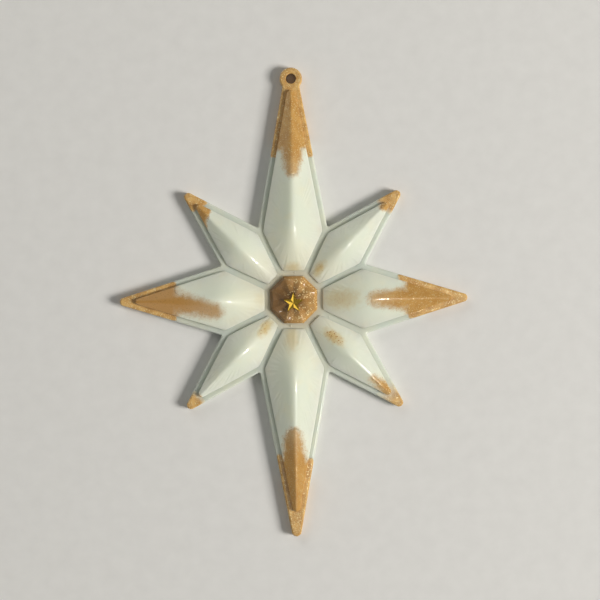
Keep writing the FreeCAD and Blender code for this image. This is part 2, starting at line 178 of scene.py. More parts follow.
def cos_sin(degrees):
    """Cosine and sine of an angle."""
    angle = math.radians(degrees)
    return math.cos(angle), math.sin(angle)


def turned(points, degrees):
    """Rows of points turned about the vertical axis."""
    c, s = cos_sin(degrees)
    x, y, z = points.T
    return np.stack([c * x - s * y, s * x + c * y, z], axis=1)


def node_points(name, direction=90):
    """A CAD node's vertices in millimetres, in the frame of the arm with the given direction."""
    points = np.array([vertex.co for vertex in frame["nodes"][name].data.vertices]) / MM
    return turned(points, 90 - direction)


def hull_lean(points, corner):
    """Lean to the arm's axis of the line through a corner that has all the points on its inner side."""
    further = points[(points[:, 0] > 0) & (points[:, 1] > corner[1] + PAST_CORNER)]
    return min(math.atan2(corner[0] - x, y - corner[1]) for x, y, _z in further)


def measure_plate():
    """Heights that the whole star shares."""
    low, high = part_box("back_plate")
    return SimpleNamespace(top=high.z / MM, bottom=low.z / MM)


def measure_arm(place):
    """The sizes of one arm, read from its CAD nodes."""
    direction = ARMS[place]
    base = node_points("back_plate", direction)
    petal = node_points(f"petal_{place}", direction)
    tip = node_points(f"tip_{place}", direction)
    arm = SimpleNamespace(place=place, direction=direction)

    floor = base[base[:, 2] < plate.bottom + NEAR]
    bearing = np.degrees(np.arctan2(floor[:, 0], floor[:, 1]))
    least, most = EDGE_BEARING
    ahead = floor[(bearing > least) & (bearing < most)]
    arm.notch = ahead[np.argmin(np.hypot(ahead[:, 0], ahead[:, 1]))][:2]
    arm.lean = hull_lean(ahead, arm.notch)
    arm.apex = arm.notch[1] + arm.notch[0] / math.tan(arm.lean)
    arm.reach = tip[:, 1].max()
    arm.tip_radius = (arm.apex - arm.reach) / (1 / math.sin(arm.lean) - 1)

    arm.foot = plate.top
    inner_end = petal[petal[:, 1] < petal[:, 1].min() + END_BAND]
    arm.wall_top = inner_end[:, 2].max()
    arm.peak = petal[np.argmax(petal[:, 2])]
    walls = petal[petal[:, 2] < arm.wall_top + NEAR]
    arm.inner = walls[np.lexsort((-walls[:, 0], walls[:, 1].round(2)))[0]][:2]
    arm.wide = walls[np.argmax(walls[:, 0])][:2]
    arm.petal_lean = hull_lean(walls, arm.wide)
    arm.petal_apex = arm.wide[1] + arm.wide[0] / math.tan(arm.petal_lean)
    arm.petal_end = tip[tip[:, 2] > arm.foot + NEAR][:, 1].max()
    arm.petal_tip = (arm.petal_apex - arm.petal_end) / (1 / math.sin(arm.petal_lean) - 1)

    at_foot = walls[walls[:, 2] < arm.foot + NEAR]
    at_eaves = walls[walls[:, 2] > arm.wall_top - NEAR]
    cad_pour = at_foot[:, 1].max()
    arm.pour_run = (cad_pour - at_eaves[:, 1].max()) / (arm.wall_top - arm.foot)
    arm.pour_place = cad_pour + POURS[place].rim_out
    return arm


plate = measure_plate()
arms = [measure_arm(place) for place in ARMS]
eyelet = next(mount for mount in frame["record"]["mounts"] if mount["name"] == "hanging_eyelet")
eyelet_place = eyelet["pos_m"][1] / MM
eyelet_bore = eyelet["dims"]["r_mm"]


# -------- outlines of lines and arcs

# An outline runs anticlockwise through arcs, with straight lines between them. An inner corner has
# a negative sweep.
Arc = namedtuple("Arc", "centre radius start sweep")


def corner_arc(before, corner, after, radius):
    """The arc that rounds one corner of a polygon."""
    before, corner, after = (Vector(point[:2]) for point in (before, corner, after))
    inward, onward = (corner - before).normalized(), (after - corner).normalized()
    turn = math.atan2(inward.x * onward.y - inward.y * onward.x, inward.dot(onward))
    start = corner - inward * radius * math.tan(abs(turn) / 2)
    centre = start + Vector((-inward.y, inward.x)) * math.copysign(radius, turn)
    spoke = start - centre
    return Arc(centre, radius, math.atan2(spoke.y, spoke.x), turn)


def rounded_polygon(corners, radii):
    """An outline through the corners of a polygon, each rounded by its own radius."""
    count = len(corners)
    return [corner_arc(corners[i - 1], corners[i], corners[(i + 1) % count], radii[i])
            for i in range(count)]


def turned_arc(arc, degrees):
    """An arc turned about the star's centre."""
    centre = Matrix.Rotation(math.radians(degrees), 2) @ arc.centre
    return Arc(centre, arc.radius, arc.start + math.radians(degrees), arc.sweep)


def on_arc(arc, share, inset=0.0):
    """The point at a share of an arc's sweep, moved into the shape by the inset."""
    angle = arc.start + arc.sweep * share
    radius = arc.radius - math.copysign(inset, arc.sweep)
    return arc.centre + Vector((math.cos(angle), math.sin(angle))) * radius


def ring(outline, inset, height):
    """Points round an outline at a height. Every inset gives the same number of points."""
    points = []
    for arc, following in zip(outline, outline[1:] + outline[:1]):
        arc_steps = max(2, math.ceil(abs(arc.sweep) * arc.radius / ARC_STEP))
        points += [on_arc(arc, step / arc_steps, inset) for step in range(arc_steps + 1)]
        length = (on_arc(following, 0) - on_arc(arc, 1)).length
        steps = max(1, round(length / LINE_STEP))
        first, last = on_arc(arc, 1, inset), on_arc(following, 0, inset)
        points += [first.lerp(last, step / steps) for step in range(1, steps)]
    return np.array([(point.x, point.y, height) for point in points])


def quarter_round(radius, steps, reach=90):
    """Pairs of how far in and how far up, along a rounded edge from its upright end."""
    angles = [math.radians(reach * step / steps) for step in range(steps + 1)]
    return [(radius * (1 - math.cos(angle)), radius * math.sin(angle)) for angle in angles]


# -------- meshes from rings

def mesh_from_rings(name, rings, peak=None):
    """Closed mesh through rings, with a flat bottom and a flat top or one peak."""
    made = bmesh.new()
    rows = [[made.verts.new(point) for point in points] for points in rings]
    count = len(rows[0])
    for low, high in zip(rows, rows[1:]):
        for i in range(count):
            j = (i + 1) % count
            made.faces.new((low[i], low[j], high[j], high[i])).smooth = True
    made.faces.new(reversed(rows[0])).smooth = False
    if peak is None:
        made.faces.new(rows[-1]).smooth = False
    else:
        top = made.verts.new(peak)
        for i in range(count):
            made.faces.new((rows[-1][i], rows[-1][(i + 1) % count], top)).smooth = True
    return to_mesh(made, name)


def crease(mesh, degrees):
    """Mark the edges that turn by more than an angle as sharp."""
    made = bmesh.new()
    made.from_mesh(mesh)
    for edge in made.edges:
        edge.smooth = edge.calc_face_angle(0) < math.radians(degrees)
    return to_mesh(made, mesh.name)


def to_mesh(made, name):
    """A mesh data block from a bmesh, which is freed."""
    mesh = bpy.data.meshes.new(name)
    made.to_mesh(mesh)
    made.free()
    return mesh


def fill_cut(made):
    """Close the openings that a cut has left with flat faces."""
    border = [edge for edge in made.edges if edge.is_boundary]
    for face in bmesh.ops.holes_fill(made, edges=border, sides=0)["faces"]:
        face.smooth = False


def cut_mesh(mesh, place, normal):
    """Cut a mesh by a plane, keep what lies beyond it and close that."""
    made = bmesh.new()
    made.from_mesh(mesh)
    everything = made.verts[:] + made.edges[:] + made.faces[:]
    bmesh.ops.bisect_plane(made, geom=everything, dist=SAME_POINT, plane_co=place,
                           plane_no=normal, clear_inner=True)
    fill_cut(made)
    return to_mesh(made, mesh.name)


def boolean(mesh, kind, other):
    """A mesh joined with, or cut by, another."""
    first, second = (bpy.data.objects.new("work", data) for data in (mesh, other))
    for item in (first, second):
        link(item)
    step = first.modifiers.new("boolean", "BOOLEAN")
    step.operation = kind
    step.solver = "EXACT"
    step.object = second
    graph = bpy.context.evaluated_depsgraph_get()
    result = bpy.data.meshes.new_from_object(first.evaluated_get(graph))
    for item in (first, second):
        bpy.data.objects.remove(item)
    return result


def place_piece(name, mesh, degrees, node, material):
    """Turn a mesh into its place, in metres, and let it stand for its CAD node."""
    mesh.transform(Matrix.Rotation(math.radians(degrees), 4, "Z"))
    mesh.transform(Matrix.Scale(MM, 4))
    mesh.materials.clear()
    mesh.materials.append(material)
    piece = bpy.data.objects.new(name, mesh)
    link(piece)
    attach(piece, "root")
    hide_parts(node)
    return piece


# -------- plate and tips

def tip_arcs(arm):
    """The rounded end of an arm, or the neck, the eyelet and the neck again."""
    right, left = arm.notch, (-arm.notch[0], arm.notch[1])
    if arm.place != "top":
        return [corner_arc(right, (0, arm.apex), left, arm.tip_radius)]
    outer = arm.reach - eyelet_place
    centre = Vector((0, eyelet_place))
    along = Vector((-math.sin(arm.lean), math.cos(arm.lean)))
    outward = Vector((math.cos(arm.lean), math.sin(arm.lean)))
    offset = Vector(right) + outward * NECK_ROUND - centre
    near = offset.dot(along)
    run = -near - math.sqrt(near ** 2 - offset.length_squared + (outer + NECK_ROUND) ** 2)
    neck = centre + offset + along * run
    spoke = neck - centre
    start = math.atan2(spoke.y, spoke.x)
    sweep = start - arm.lean
    return [
        Arc(neck, NECK_ROUND, arm.lean + math.pi, sweep),
        Arc(centre, outer, start, math.pi - 2 * start),
        Arc(Vector((-neck.x, neck.y)), NECK_ROUND, -start, sweep),
    ]


def star_outline():
    """The whole star: the end of each arm, then the notch after it."""
    def place_of(arm, x, y):
        """A point of an arm in the star's frame."""
        return turned(np.array([[x, y, 0]]), arm.direction - 90)[0]

    outline = []
    for arm, following in zip(arms, arms[1:] + arms[:1]):
        outline += [turned_arc(arc, arm.direction - 90) for arc in tip_arcs(arm)]
        notch = place_of(arm, -arm.notch[0], arm.notch[1])
        ends = place_of(arm, 0, arm.apex), place_of(following, 0, following.apex)
        outline.append(corner_arc(ends[0], notch, ends[1], NOTCH_ROUND))
    return outline


def arm_outline(arm):
    """One arm's plate by itself, closed by a straight line between its notches."""
    right, left = tuple(arm.notch), (-arm.notch[0], arm.notch[1])
    apex = (0, arm.apex)
    left_base = corner_arc(apex, left, right, BASE_ROUND + EDGE_ROUND)
    right_base = corner_arc(left, right, apex, BASE_ROUND + EDGE_ROUND)
    return tip_arcs(arm) + [left_base, right_base]


def slab(name, outline):
    """A plate with a small rounding below and a larger one above."""
    rings = [ring(outline, inset, plate.bottom + BACK_ROUND - rise)
             for inset, rise in reversed(quarter_round(BACK_ROUND, steps=3))]
    rings += [ring(outline, inset, plate.top - EDGE_ROUND + rise)
              for inset, rise in quarter_round(EDGE_ROUND, steps=8)]
    return mesh_from_rings(name, rings)


def rim_slant(arm):
    """How far the gold's boundary on the rim moves inwards for each millimetre across the arm."""
    return math.tan(math.radians(POURS[arm.place].rim_skew))


def pour_normal(arm):
    """Normal of an arm's pour surface in its own frame, towards the gold."""
    return Vector((rim_slant(arm), 1, arm.pour_run)).normalized()


def pour_point(arm):
    """Where an arm's pour surface meets the top of the plate on the arm's axis."""
    return Vector((0, arm.pour_place, arm.foot))


def pour_block(arm):
    """A block that holds everything beyond an arm's pour surface."""
    margin = 2
    half_width, far = arm.notch[0], arm.reach + margin
    skew = rim_slant(arm)
    made = bmesh.new()
    sections = []
    for height in (plate.bottom - margin, plate.top + margin):
        near = [arm.pour_place - skew * x - (height - arm.foot) * arm.pour_run
                for x in (-half_width, half_width)]
        corners = ((-half_width, near[0]), (half_width, near[1]), (half_width, far), (-half_width, far))
        sections.append([made.verts.new((x, y, height)) for x, y in corners])
    low, high = sections
    made.faces.new(reversed(low))
    made.faces.new(high)
    for i in range(4):
        j = (i + 1) % 4
        made.faces.new((low[i], low[j], high[j], high[i]))
    turn = Matrix.Rotation(math.radians(arm.direction - 90), 3, "Z")
    bmesh.ops.rotate(made, verts=made.verts, matrix=turn)
    return made


def all_pour_blocks():
    """The eight blocks as one mesh."""
    together = bmesh.new()
    for arm in arms:
        part = to_mesh(pour_block(arm), "block")
        together.from_mesh(part)
    return to_mesh(together, "pour_blocks")


def pour_prism(arm):
    """An upright block that holds the gold part of a petal's roof: the whole end and the tongue."""
    pour = POURS[arm.place]
    slant = math.tan(math.radians(pour.roof_skew))
    side, far = PRISM_SIDE, arm.reach + PRISM_SIDE
    root = TONGUE_FLARE * pour.half_width
    left_root, right_root = pour.roof_shift - root, pour.roof_shift + root
    corners = [
        (side, pour.roof - slant * side),
        (side, far),
        (-side, far),
        (-side, pour.roof + slant * side),
        (left_root, pour.roof - slant * left_root),
        (pour.end_shift - pour.half_width, pour.tongue),
        (pour.end_shift + pour.half_width, pour.tongue),
        (right_root, pour.roof - slant * right_root),
    ]
    largest = ROUND_LIMIT * (pour.roof - pour.tongue)
    root_radius = min(ROOT_ROUND, largest)
    end_radius = min(END_ROUND * pour.half_width, largest)
    radii = [PRISM_ROUND] * 4 + [root_radius, end_radius, end_radius, root_radius]
    outline = rounded_polygon(corners, radii)
    low, high = arm.foot - CLEAR, arm.peak[2] + CLEAR
    return mesh_from_rings("prism", [ring(outline, 0, low), ring(outline, 0, high)])


def circle(x, y, radius, height, steps):
    """Points of a level circle, from the right and anticlockwise."""
    angles = [2 * math.pi * i / steps for i in range(steps)]
    return [(x + radius * math.cos(a), y + radius * math.sin(a), height) for a in angles]


def hole_drill():
    """A drill for the hanging hole, wider at both mouths."""
    mouth = quarter_round(HOLE_ROUND, steps=5)
    profile = [(HOLE_ROUND, plate.bottom - CLEAR)]
    profile += [(HOLE_ROUND - inset, plate.bottom + rise) for inset, rise in mouth]
    profile += [(inset, plate.top - HOLE_ROUND + rise) for inset, rise in mouth]
    profile += [(HOLE_ROUND, plate.top + CLEAR)]
    rings = [circle(0, eyelet_place, eyelet_bore + widening, height, DRILL_STEPS)
             for widening, height in profile]
    return mesh_from_rings("drill", rings)


def drop_mesh(drop, base):
    """A tiny dome of resin that stands on a surface and reaches a little way into it."""
    rings = []
    for level in range(-DROP_SUNK, DROP_LEVELS):
        tilt = math.pi / 2 * level / DROP_LEVELS
        radius, height = drop.radius * math.cos(tilt), base + drop.rise * math.sin(tilt)
        rings.append(circle(drop.x, drop.y, radius, height, DROP_STEPS))
    return mesh_from_rings("drop", rings, peak=(drop.x, drop.y, base + drop.rise))


def make_plate_piece(material):
    """The star's plate inside the pour surfaces, with a few drops of resin on it."""
    mesh = boolean(slab("plate", star_outline()), "DIFFERENCE", all_pour_blocks())
    for drop in DROPS:
        mesh = boolean(mesh, "UNION", drop_mesh(drop, plate.top))
    return place_piece("resin_back_plate", mesh, 0, "back_plate", material)


def make_tip_piece(arm, material):
    """A gold tip: the end of the plate and the end of the petal as one casting."""
    normal = pour_normal(arm)
    mesh = cut_mesh(slab("tip", arm_outline(arm)), pour_point(arm) - normal * OVERLAP, normal)
    roof = boolean(petal_mesh(arm, SINK), "INTERSECT", pour_prism(arm))
    mesh = boolean(mesh, "UNION", roof)
    if arm.place == "top":
        mesh = boolean(mesh, "DIFFERENCE", hole_drill())
    return place_piece(f"flake_tip_{arm.place}", mesh, arm.direction - 90, f"tip_{arm.place}",
                       material)


# -------- petals

def petal_outline(arm):
    """Inner end, wide corners and rounded tip."""
    corners = [(-arm.inner[0], arm.inner[1]), tuple(arm.inner), tuple(arm.wide),
               (0, arm.petal_apex), (-arm.wide[0], arm.wide[1])]
    radii = [INNER_ROUND, INNER_ROUND, WIDE_ROUND, arm.petal_tip, WIDE_ROUND]
    return corners, rounded_polygon(corners, radii)


def melted_rise(arm, corners, points):
    """Rise of the five-sided roof above its eaves; neighbouring faces melt into each other."""
    peak = arm.peak
    heights = []
    for (x0, y0), (x1, y1) in zip(corners, corners[1:] + corners[:1]):
        length = math.hypot(x1 - x0, y1 - y0)
        inward = np.array([y0 - y1, x1 - x0]) / length
        depth = (points[:, 0] - x0) * inward[0] + (points[:, 1] - y0) * inward[1]
        peak_depth = (peak[0] - x0) * inward[0] + (peak[1] - y0) * inward[1]
        heights.append((peak[2] - arm.wall_top) * depth / peak_depth)
    heights = np.array(heights)
    lowest = heights.min(axis=0)
    to_tip = (arm.petal_end - points[:, 1]) / (arm.petal_end - peak[1])
    softness = RIDGE_SOFTNESS * np.clip(to_tip, TIP_SOFTNESS, 1)
    return lowest - softness * np.log(np.exp((lowest - heights) / softness).sum(axis=0))


def roof_height(arm, corners, points):
    """Height of the melted roof, which is stretched so that it nearly reaches the peak's height."""
    full = arm.peak[2] - arm.wall_top - PEAK_LOSS
    at_peak = melted_rise(arm, corners, arm.peak[None])[0]
    return arm.wall_top + melted_rise(arm, corners, points) * full / at_peak


def flutes(points, share, seed):
    """Shallow flutes, strongest near the eaves and gone part of the way to the peak."""
    if share > FLUTE_REACH:
        return np.zeros(len(points))
    steps = np.hypot(*(points[:, :2] - np.roll(points[:, :2], 1, axis=0)).T)
    along = np.cumsum(steps) / FLUTE_PITCH
    waves = np.array([noise.noise((s, seed, 0)) for s in along])
    fade = math.sin(math.pi * min(1, share / FLUTE_REACH + FLUTE_START))
    return FLUTE_DEPTH * fade * waves


def petal_mesh(arm, sink=0.0):
    """A petal: cove, short wall, rounded eaves, and a roof that rises to one soft peak."""
    corners, outline = petal_outline(arm)
    base = ring(outline, 0, arm.wall_top)
    peak = np.array(arm.peak)
    rings = []
    if sink:
        rings.append(ring(outline, -FOOT_COVE, arm.foot - sink))
    rings += [ring(outline, -inset, arm.foot + rise)
              for rise, inset in ((0, FOOT_COVE), COVE_MIDDLE, (FOOT_COVE, 0))]
    eaves = quarter_round(EAVES_ROUND, steps=5, reach=EAVES_TURN)
    roof_start = ring(outline, eaves[-1][0], 0)
    roof_start[:, 2] = roof_height(arm, corners, roof_start)
    for inset, rise in eaves[:-1]:
        row = ring(outline, inset, 0)
        row[:, 2] = roof_start[:, 2] - (eaves[-1][1] - rise)
        rings.append(row)
    seed = ARMS[arm.place]
    for step in range(ROOF_RINGS):
        share = step / ROOF_RINGS
        row = roof_start + (peak - roof_start) * share
        before_gold = np.clip((POURS[arm.place].tongue - row[:, 1]) / FLUTE_END, 0, 1)
        row[:, 2] = roof_height(arm, corners, row) + flutes(base, share, seed) * before_gold
        rings.append(row)
    top = peak.copy()
    top[2] = roof_height(arm, corners, peak[None])[0]
    return mesh_from_rings(f"petal_{arm.place}", rings, peak=top)


def make_petal_piece(arm, material):
    """The white part of a petal."""
    mesh = boolean(petal_mesh(arm), "DIFFERENCE", pour_prism(arm))
    if arm.place == BUBBLE_ARM:
        corners, _outline = petal_outline(arm)
        base = roof_height(arm, corners, np.array([[BUBBLE.x, BUBBLE.y, 0]]))[0]
        mesh = boolean(mesh, "UNION", drop_mesh(BUBBLE, base))
    return place_piece(f"pearl_petal_{arm.place}", mesh, arm.direction - 90, f"petal_{arm.place}",
                       material)


# -------- boss and charm

PLEATS = 8
PLEAT_STEPS = 12  # mesh steps from one pleat to the next
PLEAT_DROP = 0.75  # greatest depth of the valleys
PLEAT_DEEPEST = 0.75  # where they are deepest, as a share of the way to the edge
PLEAT_AT_EDGE = 0.3  # their depth at the edge, as a share of the greatest
BOSS_CREASE = 22  # edges of the boss that turn by more degrees than this stay sharp
PLEAT_SOFTNESS = 0.06  # rounding of ridges and valleys, as a share of the pleat
BOSS_RINGS = 16
BOSS_TOP_REACH = 0.85  # the edge of the pleated top lies beyond this share of the boss's reach
SHOULDER_BREAK = (0.04, 0.1)  # how far in and down the upper edge of the wall is broken
BEVEL_BREAK = (0.08, 0.06)  # how far out and down the upper edge of the bevel is broken
SEAT_GAP = 0.12  # gap between the charm and the wall of its seat
POINT_GAP = 2.2  # how many times wider that gap is at the charm's points
CHARM_BEVEL = 0.1
CHARM_BAND = 0.1  # vertices this close to the charm's greatest reach, or to its middle, lie there


def boss_profile():
    """Radii and heights of the boss, read from its CAD node."""
    points = node_points("centre_boss")
    reach = np.hypot(points[:, 0], points[:, 1])
    size = SimpleNamespace(apothem=points[:, 0].max())
    size.shoulder = points[reach > reach.max() - NEAR][:, 2].max()
    size.edge = points[reach > BOSS_TOP_REACH * reach.max()][:, 2].max()
    edge = reach[np.isclose(points[:, 2], size.edge, atol=NEAR)]
    size.edge_corner, size.edge_middle = edge.max(), edge.min()
    size.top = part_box("centre_boss")[1].z / MM
    return size


def pleat_wave(turn):
    """0 on a ridge and 1 in a valley, for a turn counted in pleats."""
    away = abs(turn - round(turn)) * 2
    soft = math.sqrt(away ** 2 + PLEAT_SOFTNESS ** 2) - PLEAT_SOFTNESS
    return min(1.0, soft / (1 - PLEAT_SOFTNESS))


def pleat_drop(share):
    """Depth of a valley at a share of the way from the centre to the edge."""
    if share < PLEAT_DEEPEST:
        return PLEAT_DROP * share / PLEAT_DEEPEST
    return PLEAT_DROP * (1 - (1 - PLEAT_AT_EDGE) * (share - PLEAT_DEEPEST) / (1 - PLEAT_DEEPEST))


def make_boss_piece(material):
    """Octagonal boss: wall, bevel, and a pleated top with ridges to the corners."""
    size = boss_profile()
    count = PLEATS * PLEAT_STEPS
    corner = size.apothem / math.cos(math.pi / PLEATS)
    waves = [pleat_wave(i / PLEAT_STEPS) for i in range(count)]
    angles = [math.pi / PLEATS + 2 * math.pi * i / count for i in range(count)]

    def octagon(radius, height, draw_in=0.0, drop=0.0):
        """A ring on an octagon, drawn in and lowered at the middle of each side."""
        points = []
        for angle, wave in zip(angles, waves):
            from_corner = (angle - math.pi / PLEATS) % (2 * math.pi / PLEATS) - math.pi / PLEATS
            reach = radius * math.cos(math.pi / PLEATS) / math.cos(from_corner) - draw_in * wave
            points.append((reach * math.cos(angle), reach * math.sin(angle), height - drop * wave))
        return points

    edge_draw = size.edge_corner * math.cos(math.pi / PLEATS) - size.edge_middle
    shoulder_in, shoulder_down = SHOULDER_BREAK
    bevel_out, bevel_down = BEVEL_BREAK
    rings = [
        octagon(corner, plate.top),
        octagon(corner, size.shoulder - shoulder_down),
        octagon(corner - shoulder_in, size.shoulder),
        octagon(size.edge_corner + bevel_out, size.edge - bevel_down, edge_draw, pleat_drop(1)),
    ]
    for step in range(BOSS_RINGS):
        share = 1 - step / BOSS_RINGS
        height = size.top - (size.top - size.edge) * share
        rings.append(octagon(size.edge_corner * share, height, edge_draw * share, pleat_drop(share)))
    mesh = mesh_from_rings("boss", rings, peak=(0, 0, size.top))
    mesh = crease(boolean(mesh, "DIFFERENCE", charm_prism(charm_size(), SEAT_GAP)), BOSS_CREASE)
    return place_piece("amber_boss", mesh, 0, "centre_boss", material)


def charm_size():
    """Centre, radii and heights of the charm, read from its CAD node."""
    points = node_points("star_charm")
    size = SimpleNamespace(base=points[:, 2].min(), top=points[:, 2].max())
    summit = points[np.argmax(points[:, 2])]
    size.centre = summit[:2]
    distances = np.hypot(points[:, 0] - size.centre[0], points[:, 1] - size.centre[1])
    size.edge = points[distances > distances.max() - CHARM_BAND][:, 2].max()
    size.radius = distances.max()
    size.waist = distances[distances > CHARM_BAND].min()
    return size


def charm_ring(size, height, gap=0.0):
    """The charm's ten corners at a height, from the point towards the eyelet."""
    points = []
    for index in range(10):
        at_waist = index % 2
        radius = size.waist + gap if at_waist else size.radius + gap * POINT_GAP
        angle = math.pi / 2 + index * math.pi / 5
        points.append((size.centre[0] + radius * math.cos(angle),
                       size.centre[1] + radius * math.sin(angle), height))
    return points


def charm_prism(size, gap):
    """The charm's seat as a cutting tool, open above the boss."""
    low, high = size.base, size.top + CLEAR
    return mesh_from_rings("seat", [charm_ring(size, low, gap), charm_ring(size, high, gap)])


def make_charm_piece(material):
    """A five-pointed star with ten facets and softly broken edges."""
    size = charm_size()
    summit = (size.centre[0], size.centre[1], size.top)
    mesh = mesh_from_rings("charm", [charm_ring(size, size.base), charm_ring(size, size.edge)], peak=summit)
    made = bmesh.new()
    made.from_mesh(mesh)
    upper = [edge for edge in made.edges if max(v.co.z for v in edge.verts) > size.base + NEAR]
    bmesh.ops.bevel(made, geom=upper, offset=CHARM_BEVEL, segments=2, profile=0.6, affect="EDGES")
    for face in made.faces:
        face.smooth = False
    mesh = to_mesh(made, "charm")
    return place_piece("brass_charm", mesh, 0, "star_charm", material)


# -------- material helpers

class Graph:
    """A material's nodes, added one at a time."""

    def __init__(self, name, direction=90):
        self.material = bpy.data.materials.new(name)
        self.material.use_nodes = True
        self.tree = self.material.node_tree
        self.tree.nodes.clear()
        self.shader = self.tree.nodes.new("ShaderNodeBsdfPrincipled")
        output = self.tree.nodes.new("ShaderNodeOutputMaterial")
        self.tree.links.new(self.shader.outputs[0], output.inputs["Surface"])
        self.place, self.x, self.y, self.z = self.local(direction)

    def put(self, socket, value):
        """Link a socket, or set its value."""
        if isinstance(value, bpy.types.NodeSocket):
            self.tree.links.new(value, socket)
        elif isinstance(value, tuple) and len(value) == 3 and socket.type == "RGBA":
            socket.default_value = (*value, 1)
        else:
            socket.default_value = value

    def node(self, kind, settings=None, **inputs):
        """A node with some settings and inputs; returns it."""
        made = self.tree.nodes.new(kind)
        for key, value in (settings or {}).items():
            setattr(made, key, value)
        for key, value in inputs.items():
            self.put(made.inputs[key.replace("_", " ")], value)
        return made

    def sum(self, kind, *values):
        """One step of arithmetic."""
        made = self.node("ShaderNodeMath", {"operation": kind})
        for socket, value in zip(made.inputs, values):
            self.put(socket, value)
        return made.outputs[0]

    def times(self, first, second):
        """Product of two values."""
        return self.sum("MULTIPLY", first, second)

    def minus(self, first, second):
        """Difference of two values."""
        return self.sum("SUBTRACT", first, second)

    def ramp(self, value, low, high):
        """0 below low, 1 above high, and smooth between."""
        made = self.node("ShaderNodeMapRange", {"interpolation_type": "SMOOTHSTEP"}, Value=value,
                         From_Min=low, From_Max=high)
        return made.outputs[0]

    def length(self, first, second):
        """Length of a line from its two parts at right angles."""
        squares = [self.sum("POWER", part, 2.0) for part in (first, second)]
        return self.sum("SQRT", self.sum("ADD", *squares))

    def mix(self, share, first, second):
        """Blend two colours, through the node's sockets for colours."""
        made = self.node("ShaderNodeMix", {"data_type": "RGBA"})
        for socket, value in zip((0, 6, 7), (share, first, second)):
            self.put(made.inputs[socket], value)
        return made.outputs[2]

    def local(self, direction):
        """Place in millimetres in an arm's frame: the vector and its three parts."""
        place = self.node("ShaderNodeTexCoord").outputs["Object"]
        mapping = self.node("ShaderNodeMapping", Vector=place)
        mapping.inputs["Rotation"].default_value = (0, 0, math.radians(90 - direction))
        mapping.inputs["Scale"].default_value = (1 / MM,) * 3
        parts = self.node("ShaderNodeSeparateXYZ", Vector=mapping.outputs[0])
        return mapping.outputs[0], *parts.outputs[:3]

    def noise(self, size, detail=2.0, roughness=0.5):
        """Smooth noise whose lumps are about the given size across; 0 to 1."""
        made = self.node("ShaderNodeTexNoise", Vector=self.place, Scale=1 / size, Detail=detail,
                         Roughness=roughness)
        return made.outputs[0]

    def cells(self, size):
        """Random cells of about the given size, with a random number each."""
        made = self.node("ShaderNodeTexVoronoi", Vector=self.place, Scale=1 / size)
        return self.node("ShaderNodeSeparateColor", Color=made.outputs["Color"]).outputs[0]

    def bump(self, height, strength, distance, below=None):
        """A bump from a height in millimetres."""
        made = self.node("ShaderNodeBump", Height=height, Strength=strength, Distance=distance * MM)
        if below is not None:
            self.put(made.inputs["Normal"], below)
        return made.outputs[0]

    def finish(self, **inputs):
        """Set the shader's sockets and return the material."""
        for key, value in inputs.items():
            self.put(self.shader.inputs[key.replace("_", " ")], value)
        return self.material


# -------- materials

# Colours, as linear red, green and blue.
PEARL = (0.86, 0.87, 0.70)
PEARL_COOL = (0.81, 0.85, 0.71)
PEARL_WARM = (0.88, 0.84, 0.62)
BACKING_COOL = (0.62, 0.67, 0.59)
BACKING_WARM = (0.68, 0.70, 0.58)
RING_TINT = (0.68, 0.60, 0.42)
GOLD = (0.72, 0.43, 0.13)
# Dark gold of the clouds and the stain flecks; also painted shade on the gold roofs.
GOLD_DARK_AND_SHADE = (0.50, 0.25, 0.055)
GOLD_PALE = (0.86, 0.59, 0.24)
FLECK = (1.0, 0.80, 0.42)
FLECK_DARK = (0.10, 0.045, 0.01)
STAIN = (0.70, 0.50, 0.20)
AMBER = (0.52, 0.27, 0.08)
# Dark amber for the boss's deeper centre and for painted shade on the boss.
AMBER_DARK_AND_SHADE = (0.11, 0.05, 0.013)
BRASS = (1.0, 0.64, 0.09)
TARNISH = (0.62, 0.33, 0.04)
FLOOR_DARK = (0.74, 0.73, 0.71)
FLOOR_LIGHT = (0.82, 0.81, 0.79)

# Sizes of the patterns, in millimetres.
PEARL_CLOUD = 14
WARM_CLOUD = 9
BACKING_CLOUD = 10
GOLD_CLOUD = 3.5
GRAIN = 0.36
FLAKE = 0.3
BOSS_FLAKE = 0.42
STAIN_FLAKE = 0.4

# The ragged edge of the gold on a roof. The bands are multiples of the pour's softness.
COARSE, COARSE_PUSH = 2.8, 3.2  # size of the coarse noise, and how strongly it moves the edge
FINE, FINE_PUSH = 0.55, 1.6  # the same for the fine noise
SPECKLE, SPECKLE_RARITY = 0.4, 14.0
TONGUE_MELT = 2.4  # how far a tongue melts into the gold at its root
MASK_BAND = (-1.4, 0.6)  # where the colour changes
DENSE_BAND = (-3, -0.4)  # where light stops travelling through the resin
TONGUE_THINNING = 0.18  # how much of the gold is missing at the end of a tongue

# Where colours change, in millimetres: where the second colour begins, and where it is full.
ARM_WARMING = (24, 12)  # along an arm, white resin towards the boss
RING_WARMING = (15, 9.5)  # the plate round the boss, away from the centre
BOSS_CLEARING = (1.5, 8.0)  # the boss away from its dark centre, which is partly painted shadow of the charm
BOSS_PAINTED_LIGHT = (-6.0, 4.0)  # where painted light on the boss runs from its shaded left to its lit right
RIM_START = -0.7  # the rim's gold begins this far inside the pour's boundary

